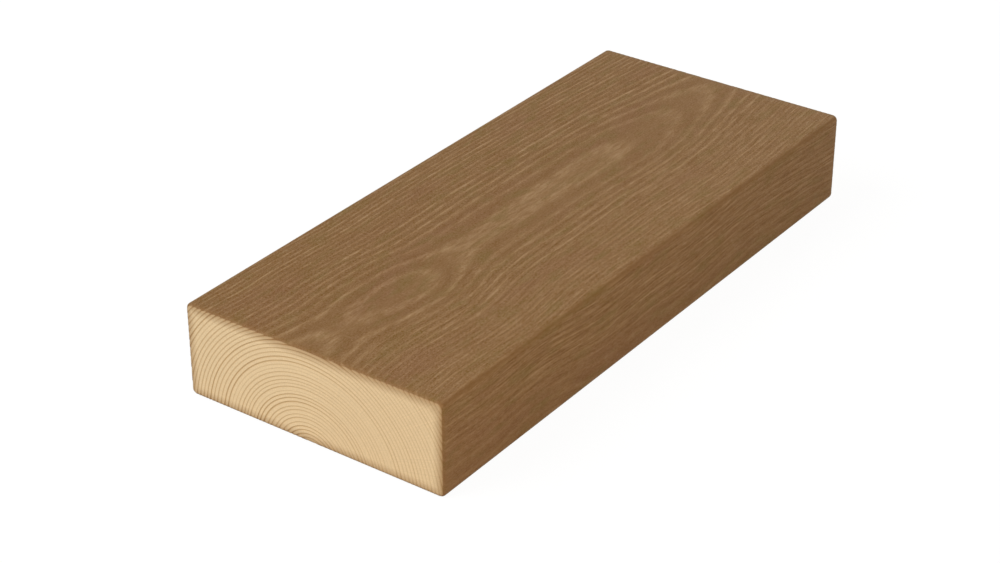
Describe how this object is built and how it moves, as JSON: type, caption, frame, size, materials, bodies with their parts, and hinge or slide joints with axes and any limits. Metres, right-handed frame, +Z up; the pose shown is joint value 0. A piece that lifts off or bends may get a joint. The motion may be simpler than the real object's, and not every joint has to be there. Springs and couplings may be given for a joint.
{
  "type": "pressure-treated pine board",
  "caption": "Short straight board of pressure-treated pine with eased long edges and square docked ends, lying on its wide face, for framing, decking and edging.",
  "frame": {"origin": "middle of the underside, on the surface that the board lies on", "axes": "+Y along the length and the grain, +X across the width, +Z up through the thickness; the end grain that the picture shows faces -Y"},
  "size_m": [0.15, 0.354, 0.05],
  "materials": {
    "treated_pine": "matte"
  },
  "bodies": {
    "root": {"pine_board": "treated_pine"}
  },
  "joints": []
}
